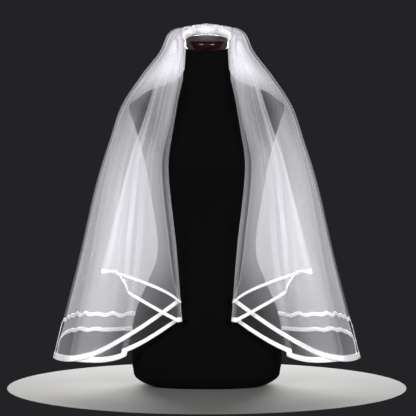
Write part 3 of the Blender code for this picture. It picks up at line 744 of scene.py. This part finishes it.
def cloth_columns(tier):
    """The columns of one side from the middle of the back to the free edge, with each pleat's doublings.

    Gives each column's place, how far along a pleat it is moved, that pleat's width and depth, and the layer it is in.
    """
    places = np.concatenate([
        np.linspace(0.0, 1.0, BACK_COLUMNS, endpoint=False),
        np.linspace(1.0, 2.0, FRONT_COLUMNS, endpoint=False),
        np.linspace(2.0, 3.0, TURN_COLUMNS, endpoint=False),
        np.linspace(3.0, 4.0, PANEL_COLUMNS),
    ])
    rows = [(float(place), 0.0, 0.0, 0.0, 0.0) for place in places]
    doubling = ((1.0, 0.0), (1.04, 0.5), (1.0, 1.0), (0.5, 1.0), (0.0, 1.0), (-0.04, 1.5), (0.0, 2.0), (0.5, 2.0))
    for pleat in pleats_of(tier):
        end = pleat["place"] + pleat["reach"]
        fade = 0.10
        before = [row for row in rows if row[0] < pleat["place"]]
        inside = [(pleat["place"], k, pleat["reach"], pleat["depth"], layer) for k, layer in doubling]
        after = []
        for row in rows:
            if row[0] >= end:
                layer = 2.0 * float(1 - smooth_step((row[0] - end) / fade))
                after.append((row[0], 0.0, 0.0, pleat["depth"], layer) if layer > 0 else row)
        rows = before + [(pleat["place"], 0.0, pleat["reach"], pleat["depth"], 0.0)] + inside + after
    return np.array(rows)


def pleats_of(tier):
    return [dict(zip(PLEAT_COLUMNS, row)) for row in PLEATS if row[0] == tier]


def pleat_openings(tier, shares, hem, columns):
    """How much of its reach each pleat takes up at each row, so that it keeps its width as the cloth spreads."""
    opened = np.zeros((len(shares), len(columns)))
    for pleat in pleats_of(tier):
        place = np.full(len(shares), pleat["place"])
        down = shares * hem_share(place, hem)
        step = 0.01
        spread = np.linalg.norm(base_sheet(place + step, down, hem) - base_sheet(place - step, down, hem), axis=-1)
        wanted = pleat["width"] * (0.4 + 0.6 * smooth_step(shares / 0.3)) / (spread / (2 * step))
        share = np.clip(wanted / pleat["reach"], 0.02, 1.0)
        inside = (columns[:, 0] == pleat["place"]) & (columns[:, 2] > 0)
        opened[:, inside] = share[:, None]
    return opened


def side_points(tier, side, shares, hem):
    """The grid of one side of a tier, from the middle of the back to its free edge, and its layers."""
    columns = cloth_columns(tier)
    place, share = np.meshgrid(columns[:, 0], shares)
    along, width, depth, layer = (np.broadcast_to(columns[:, k], place.shape) for k in (1, 2, 3, 4))
    opened = pleat_openings(tier, np.asarray(shares, float), hem, columns)
    u = place + along * width * opened
    drop = np.zeros_like(u)
    for pleat in pleats_of(tier):
        u = u + pleat["lean"] * (1 - share) * np.interp(
            place, [pleat["fades_from"], pleat["place"], pleat["place"] + pleat["reach"], pleat["fades_to"]], [0, 1, 1, 0]
        )
        before = smooth_step((place - pleat["fades_from"]) / (pleat["place"] - pleat["fades_from"]))
        in_pleat = (place == pleat["place"]) & (width > 0)
        weight = np.where(in_pleat, 1 - layer / 2, np.where(place < pleat["place"], before, 0.0))
        drop += pleat["drop"] * weight * share**5
    rise = -depth * layer * (0.3 + 0.7 * smooth_step(share / 0.2))
    points, layers = tier_points(np.clip(u, 0.0, 4.0), share, rise, hem, tier, side)
    points[..., 2] -= drop
    thicker = 1 + THICKER_LOW[tier] * smooth_step((share - THICKER_FROM) / THICKER_OVER)
    # This thickness carries the painted highlight at the front fold and the painted sheen on the upper tier's panel
    thickness = np.interp(u, *zip(*THICKNESS_AND_PAINTED_SHEEN[tier])) * thicker
    return points, layers, thickness, u


def tier_grid(tier, shares, hem):
    """A whole tier, from its left free edge round the back to its right one.

    Gives its points, how many more layers its creases draw together, how thickly it lies (with a painted highlight at
    the front fold and painted sheen on the upper panel), and each place round it.
    """
    halves = [side_points(tier, side, shares, hem) for side in ("left", "right")]
    points, layers, thickness, place = (
        np.concatenate([left[:, ::-1], right[:, 1:]], axis=1) for left, right in zip(*halves)
    )
    # The seam line at the middle of the back belongs to both sides
    middle = halves[0][0].shape[1] - 1
    blend = np.linspace(0.5, 0.0, 9)[1:]
    centre = 0.5 * (halves[0][0][:, 0] + halves[1][0][:, 0])
    offset_left = centre - halves[0][0][:, 0]
    offset_right = centre - halves[1][0][:, 0]
    points[:, middle] = centre
    for k, share in enumerate(blend, start=1):
        points[:, middle - k] += offset_left * share * 2
        points[:, middle + k] += offset_right * share * 2
    return points, layers, thickness, place


def flat_places(tier, hem, shares, drop):
    """Each point's place on the flat cut, in metres, from the hem's spacing and the drop."""
    hem_points = tier_grid(tier, np.array([1.0]), hem)[0]
    steps = np.linalg.norm(np.diff(hem_points[0], axis=0), axis=1)
    across = np.concatenate([[0.0], np.cumsum(steps)])
    x, y = np.meshgrid(across, np.asarray(shares) * drop)
    return np.stack([x, y], axis=-1), steps


def drop_length(hem):
    """The cloth's length down the middle of the front sweep."""
    share = np.linspace(0, 1, 200)
    line = base_sheet(np.full(200, 1.6), share * hem_share(np.array(1.6), hem), hem)
    return float(np.linalg.norm(np.diff(line, axis=0), axis=1).sum())


def grid_mesh(name, points, flat, layers=None):
    """A mesh sheet through a grid of points, with its flat pattern as UVs and its layers as an attribute."""
    rows, columns = points.shape[:2]
    index = np.arange(rows * columns).reshape(rows, columns)
    faces = np.stack([index[:-1, :-1], index[1:, :-1], index[1:, 1:], index[:-1, 1:]], axis=-1).reshape(-1, 4)
    mesh = bpy.data.meshes.new(name)
    mesh.vertices.add(rows * columns)
    mesh.vertices.foreach_set("co", points.reshape(-1).astype(np.float32))
    mesh.loops.add(faces.size)
    mesh.loops.foreach_set("vertex_index", faces.reshape(-1).astype(np.int32))
    mesh.polygons.add(len(faces))
    mesh.polygons.foreach_set("loop_start", np.arange(0, faces.size, 4, dtype=np.int32))
    mesh.update(calc_edges=True)
    uv = mesh.uv_layers.new(name="flat")
    uv.data.foreach_set("uv", flat.reshape(-1, 2)[faces.reshape(-1)].reshape(-1).astype(np.float32))
    if layers is not None:
        attribute = mesh.attributes.new("layers", "FLOAT", "POINT")
        attribute.data.foreach_set("value", layers.reshape(-1).astype(np.float32))
    mesh.shade_smooth()
    mesh.validate()
    return mesh


def add_piece(name, mesh, material, replaced=()):
    """Links a piece, gives it its finish, and rides it on the one body."""
    mesh.materials.append(material)
    piece = bpy.data.objects.new(name, mesh)
    bpy.context.scene.collection.objects.link(piece)
    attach(piece, "root")
    if replaced:
        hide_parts(*replaced)
    return piece


def mesh_area(mesh):
    areas = np.zeros(len(mesh.polygons))
    mesh.polygons.foreach_get("area", areas)
    return float(areas.sum())


def ring_mesh(name, rings, closed_ends=True):
    """A closed solid through closed rings of equal count."""
    mesh = bpy.data.meshes.new(name)
    work = bmesh.new()
    verts = [[work.verts.new(point) for point in ring] for ring in rings]
    count = len(rings[0])
    for low, high in zip(verts, verts[1:]):
        for j in range(count):
            k = (j + 1) % count
            work.faces.new((low[j], low[k], high[k], high[j]))
    if closed_ends:
        work.faces.new(verts[0][::-1])
        work.faces.new(verts[-1])
    bmesh.ops.recalc_face_normals(work, faces=work.faces)
    work.to_mesh(mesh)
    work.free()
    mesh.shade_smooth()
    mesh.set_sharp_from_angle(angle=math.radians(50))
    return mesh


class VEIL_OT_tiers(bpy.types.Operator):
    """Builds the two tiers of tulle and the satin ribbon along each hem"""

    bl_idname = "veil.tiers"
    bl_label = "Build the tiers"

    def execute(self, context):
        sizes = context.scene.veil_sizes
        colours = context.scene.veil_colours
        net = tulle_material("soft nylon tulle, knitted", sizes.thread_cover, 0.5, colours.tulle, sizes)
        satin = satin_material(colours, sizes)
        for tier, hem_row in (("lower", LONG_HEM), ("upper", SHORT_HEM)):
            hem = dict(zip(HEM_COLUMNS, hem_row))
            drop = drop_length(hem)
            shares = np.linspace(0.0, 1.0, SHEET_ROWS) ** 1.25
            points, bunched, thickness, place = tier_grid(tier, shares, hem)
            flat, steps = flat_places(tier, hem, shares, drop)
            # Where the cloth is narrower than its cut, the rest of it lies in fine gathers
            spacing = np.linalg.norm(np.diff(points, axis=1), axis=2)
            fullness = np.clip(steps[None, :] / np.maximum(spacing, 1e-5), 1.0, max(row[1] for row in MOST_LAYERS))
            kernel = np.ones(9) / 9
            fullness = np.apply_along_axis(lambda row: np.convolve(np.pad(row, 4, "edge"), kernel, "valid"), 1, fullness)
            fullness = np.concatenate([fullness[:, :1], 0.5 * (fullness[:, 1:] + fullness[:, :-1]), fullness[:, -1:]], axis=1)
            fullness = np.minimum(fullness, np.interp(place, *zip(*MOST_LAYERS)))
            at_heading = GATHERED_LAYERS * np.exp(-shares / GATHERED_OVER)[:, None]
            at_heading = at_heading * np.interp(place, *zip(*DENSE_SHARE))
            # These layers carry the painted highlight at the front fold and the painted sheen on the upper panel, as
            # denser white net
            layers = np.maximum(fullness * (1 + bunched), 0.4) * thickness + at_heading
            mesh = grid_mesh(f"{tier}_tier_tulle", points, flat, layers)
            area = mesh_area(mesh)
            nodes = [f"{tier}_tier_{stretch}" for stretch in ("left", "back", "right")]
            cloth = add_piece(f"{tier}_tier_tulle", mesh, net, nodes)

            start = 1 - sizes.ribbon_width / drop
            ribbon_shares = np.linspace(start, 1.0, RIBBON_ROWS)
            ribbon_points = tier_grid(tier, ribbon_shares, hem)[0]
            ribbon_flat, _ = flat_places(tier, hem, ribbon_shares, drop)
            ribbon_mesh = grid_mesh(f"{tier}_tier_satin_ribbon", ribbon_points, ribbon_flat)
            ribbon = add_piece(f"{tier}_tier_satin_ribbon", ribbon_mesh, satin, [f"{tier}_tier_ribbon"])
            wall = ribbon.modifiers.new("folded over the hem", "SOLIDIFY")
            wall.thickness = sizes.ribbon_thickness
            wall.offset = 0.0

        return {"FINISHED"}


class VEIL_OT_heading(bpy.types.Operator):
    """Builds the crimped heading of the gathers and the frill of raw tulle above it"""

    bl_idname = "veil.heading"
    bl_label = "Build the gathered heading"

    def execute(self, context):
        sizes = context.scene.veil_sizes
        colours = context.scene.veil_colours
        material = tulle_material("gathered nylon tulle, in many layers", 0.5, 0.06, colours.heading, sizes)
        draw = np.random.default_rng(21)
        sides = 16
        count = sizes.crimps * 10 + 1
        share = np.linspace(0, 1, count)
        end = math.radians(ROLL[0][0])
        angle = end + share * (math.pi - 2 * end)
        each = np.floor(share * sizes.crimps).astype(int)
        tallness = draw.uniform(0.55, 1.0, sizes.crimps + 1)[each]
        crimp = 0.0022 * tallness * (np.cos(2 * math.pi * share * sizes.crimps) - 1) / 2
        crimp += 0.0005 * np.sin(2 * math.pi * share * sizes.crimps * 0.37 + 1.0)
        turn = 2 * math.pi * (np.arange(sides) + 0.5) / sides
        from_front = np.minimum(np.degrees(angle), 180 - np.degrees(angle))
        roll = {
            key: smooth_curve([row[0] for row in ROLL], [row[i] for row in ROLL], from_front)
            for i, key in enumerate(ROLL_COLUMNS)
        }
        radius = roll["radius"][:, None] + (roll["half_depth"] + crimp * 0.6)[:, None] * np.cos(turn)
        height = roll["height"][:, None] + (roll["half_height"] + crimp)[:, None] * np.sin(turn)
        across, out, up = on_cap(angle[:, None], radius, height)
        rings = np.stack([-across, out, up], axis=-1)
        mesh = ring_mesh("gathered_heading_tulle", rings.tolist())
        mesh.attributes.new("layers", "FLOAT", "POINT").data.foreach_set(
            "value", np.full(len(mesh.vertices), 6.0, np.float32)
        )
        heading = add_piece("gathered_heading_tulle", mesh, material, ["gathered_heading"])

        # The frill, a thin ruffle that stands up from the heading
        rows = 7
        columns = sizes.crimps * 12 + 1
        along, rise = np.meshgrid(np.linspace(0.0, 1.0, columns), np.linspace(0.0, 1.0, rows))
        ruffle = np.sin(2 * math.pi * along * sizes.crimps * 0.9 + 1.5 * np.sin(2 * math.pi * along * 7))
        uneven = 0.72 + 0.28 * np.sin(2 * math.pi * along * 23 + 2.0 * np.sin(2 * math.pi * along * 5))
        angle = HEADER_END_ANGLE + (0.03 + 0.94 * along) * (math.pi - 2 * HEADER_END_ANGLE)
        ends = np.minimum(1.0, 0.3 + 6 * np.minimum(along, 1 - along))
        radius = HEADER_RADIUS + 0.0005 + (0.0014 * ruffle + 0.0016) * rise
        base = 2 * HEADER_HALF_HEIGHT * np.minimum(1.0, 0.45 + 7 * np.minimum(along, 1 - along)) - 0.0015
        height = base + sizes.frill_height * rise * uneven * ends
        across, out, up = on_cap(angle, radius, height)
        points = np.stack([-across, out, up], axis=-1)
        flat = np.stack([along * 0.6, rise * sizes.frill_height], axis=-1)
        layers = np.full(points.shape[:2], 1.0) + 1.5 * (1 - rise)
        frill_mesh = grid_mesh("heading_frill", points, flat, layers)
        frill = add_piece("heading_frill", frill_mesh, material)
        area = mesh_area(frill_mesh)
        return {"FINISHED"}


class VEIL_OT_form(bpy.types.Operator):
    """Builds the dress form in black jersey and its lacquered neck cap, and gives the comb its plastic"""

    bl_idname = "veil.form"
    bl_label = "Build the dress form"

    def execute(self, context):
        colours = context.scene.veil_colours
        heights = [row[0] for row in FORM_LEVELS]
        last = dict(zip(FORM_COLUMNS, FORM_LEVELS[-1]))
        levels = np.concatenate([
            np.linspace(0.0, 0.045, 22, endpoint=False),
            np.linspace(0.045, last["height"], FORM_RINGS),
        ])
        angle = 2 * math.pi * np.arange(FORM_SIDES) / FORM_SIDES
        c, s = np.cos(angle), np.sin(angle)
        rings = []
        for height in levels:
            level = {
                key: float(smooth_curve(heights, [row[i] for row in FORM_LEVELS], np.array(height)))
                for i, key in enumerate(FORM_COLUMNS)
            }
            power = 2 / level["squareness"]
            x = level["half_width"] * np.sign(c) * np.abs(c) ** power
            y = level["back_shift"] + level["half_depth"] * np.sign(s) * np.abs(s) ** power
            for side in (-1, 1):
                near = ((x - side * BUST_HALF_SPAN) ** 2 + (height - BUST_HEIGHT) ** 2) / BUST_SPREAD**2
                y = y - np.where(s < 0, BUST_DEPTH * np.exp(-near / 2), 0.0)
            rings.append(np.stack([x, y, np.full_like(x, height)], axis=-1).tolist())
        under_cap = -(CAP_THICKNESS + SEAM_GAP)
        for k in range(1, NECK_RINGS + 1):
            share = k / NECK_RINGS
            tilt = CAP_TILT * share
            top_y = CAP_CENTRE_Y - under_cap * math.sin(CAP_TILT)
            top_z = CAP_TOP_Z + under_cap * math.cos(CAP_TILT)
            centre_y = last["back_shift"] + (top_y - last["back_shift"]) * share
            centre_z = last["height"] + (top_z - last["height"]) * share
            radius = last["half_width"] + (NECK_RADIUS - last["half_width"]) * share
            deep = last["half_depth"] + (NECK_RADIUS - last["half_depth"]) * share
            y = centre_y + deep * s * math.cos(tilt)
            z = centre_z + deep * s * math.sin(tilt)
            rings.append(np.stack([radius * c, y, z], axis=-1).tolist())
        torso = ring_mesh("dress_form_jersey", rings)
        add_piece("dress_form_jersey", torso, jersey_material(colours), ["dress_form"])

        # The cap's profile, turned about its axis
        round_edge = 0.006
        skirt = CAP_THICKNESS + CAP_SKIRT
        profile = [(0.004, 0.0)]
        for start, middle in ((math.pi / 2, -round_edge), (0.0, -skirt + round_edge)):
            for k in range(9):
                bend = start - math.pi / 2 * k / 8
                radius = CAP_RADIUS - round_edge + round_edge * math.cos(bend)
                profile.append((radius, middle + round_edge * math.sin(bend)))
        profile.append((0.004, -skirt))
        steps = 2 * math.pi * np.arange(96) / 96
        rings = []
        for radius, height in profile:
            across, out, up = on_cap(steps, radius, height)
            rings.append(np.stack(np.broadcast_arrays(across, out, up), axis=-1).tolist())
        cap = ring_mesh("neck_cap_lacquered", rings)
        glossy = lacquer_material("dark red lacquered beech, turned", 0.6, colours)
        add_piece("neck_cap_lacquered", cap, glossy, ["neck_cap"])
        # The flat top is rubbed down after lacquering, so it shines less than the rim
        cap.materials.append(lacquer_material("dark red lacquered beech, rubbed down", 0.02, colours))
        top_normal = np.array([0.0, -math.sin(CAP_TILT), math.cos(CAP_TILT)])
        for face in cap.polygons:
            if np.dot(np.array(face.normal), top_normal) > 0.98:
                face.material_index = 1

        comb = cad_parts["comb"]
        comb = comb if isinstance(comb, bpy.types.Object) else bpy.data.objects["comb"]
        comb.data.materials.clear()
        comb.data.materials.append(plastic_material(colours))
        return {"FINISHED"}


class VEIL_OT_stage(bpy.types.Operator):
    """Sets the floor, the soft studio lights, the backdrop's colour and the camera"""

    bl_idname = "veil.stage"
    bl_label = "Set the stage"

    def execute(self, context):
        scene = context.scene
        colours = scene.veil_colours
        world = bpy.data.worlds.new("studio")
        world.use_nodes = True
        background = world.node_tree.nodes["Background"]
        background.inputs["Color"].default_value = linear(colours.backdrop)
        background.inputs["Strength"].default_value = 1.0
        scene.world = world

        floor_mesh = bpy.data.meshes.new("floor")
        work = bmesh.new()
        bmesh.ops.create_circle(work, cap_ends=True, segments=160, radius=0.46)
        work.to_mesh(floor_mesh)
        work.free()
        material, tree = new_material("pale matt card")
        card = add_node(
            tree, "ShaderNodeBsdfPrincipled", sockets={
                "Base Color": linear(colours.floor), "Roughness": 0.9, "Specular IOR Level": 0.1,
            },
        )
        add_node(tree, "ShaderNodeOutputMaterial", [("Surface", card.outputs[0])])
        floor_mesh.materials.append(material)
        floor = bpy.data.objects.new("floor", floor_mesh)
        floor.location.z = -0.0005
        scene.collection.objects.link(floor)

        # name, place, what it points at, width, height, power
        lights = (
            ("left back light", (-0.55, 2.1, 0.55), (-0.1, 0.0, 0.25), 1.0, 1.2, 118.0),
            ("right back light", (0.55, 2.1, 0.55), (0.1, 0.0, 0.25), 1.0, 1.2, 118.0),
            ("left front light", (-1.3, -2.4, 1.00), (0.0, 0.0, 0.40), 0.8, 0.8, 52.0),
            ("right front light", (1.3, -2.4, 1.00), (0.0, 0.0, 0.40), 0.8, 0.8, 52.0),
        )
        for name, place, aim, width, height, power in lights:
            lamp = bpy.data.lights.new(name, "AREA")
            lamp.shape = "RECTANGLE"
            lamp.size = width
            lamp.size_y = height
            lamp.energy = power
            light = bpy.data.objects.new(name, lamp)
            light.location = place
            direction = np.array(aim) - np.array(place)
            flat_reach = math.hypot(direction[0], direction[1])
            light.rotation_euler = (
                math.atan2(flat_reach, -direction[2]), 0.0, math.atan2(direction[1], direction[0]) - math.pi / 2
            )
            light.visible_camera = False
            scene.collection.objects.link(light)

        camera_data = bpy.data.cameras.new("camera")
        camera_data.lens = CAMERA_LENS
        camera_data.sensor_width = CAMERA_SENSOR
        camera = bpy.data.objects.new("camera", camera_data)
        camera.location = CAMERA_PLACE
        camera.rotation_euler = (math.radians(90), 0.0, 0.0)
        scene.collection.objects.link(camera)
        scene.camera = camera
        scene.view_settings.view_transform = "Standard"
        scene.cycles.transparent_max_bounces = 32
        return {"FINISHED"}


class VEIL_PT_panel(bpy.types.Panel):
    """Lists the veil's operators, sizes and colours"""

    bl_idname = "VEIL_PT_panel"
    bl_label = "Bridal veil"
    bl_space_type = "VIEW_3D"
    bl_region_type = "UI"
    bl_category = "Bridal veil"

    def draw(self, context):
        layout = self.layout
        for group in (context.scene.veil_sizes, context.scene.veil_colours):
            for name in group.bl_rna.properties.keys():
                if name not in ("rna_type", "name"):
                    layout.prop(group, name)
        for operator in OPERATORS:
            layout.operator(operator.bl_idname)


OPERATORS = (VEIL_OT_form, VEIL_OT_heading, VEIL_OT_tiers, VEIL_OT_stage)
CLASSES = (VeilSizes, VeilColours) + OPERATORS + (VEIL_PT_panel,)


def register():
    for each in CLASSES:
        bpy.utils.register_class(each)
    bpy.types.Scene.veil_sizes = PointerProperty(type=VeilSizes)
    bpy.types.Scene.veil_colours = PointerProperty(type=VeilColours)


def unregister():
    del bpy.types.Scene.veil_colours
    del bpy.types.Scene.veil_sizes
    for each in reversed(CLASSES):
        bpy.utils.unregister_class(each)


def main():
    register()
    bpy.ops.veil.form()
    bpy.ops.veil.heading()
    bpy.ops.veil.tiers()
    bpy.ops.veil.stage()


if __name__ == "__main__":
    main()
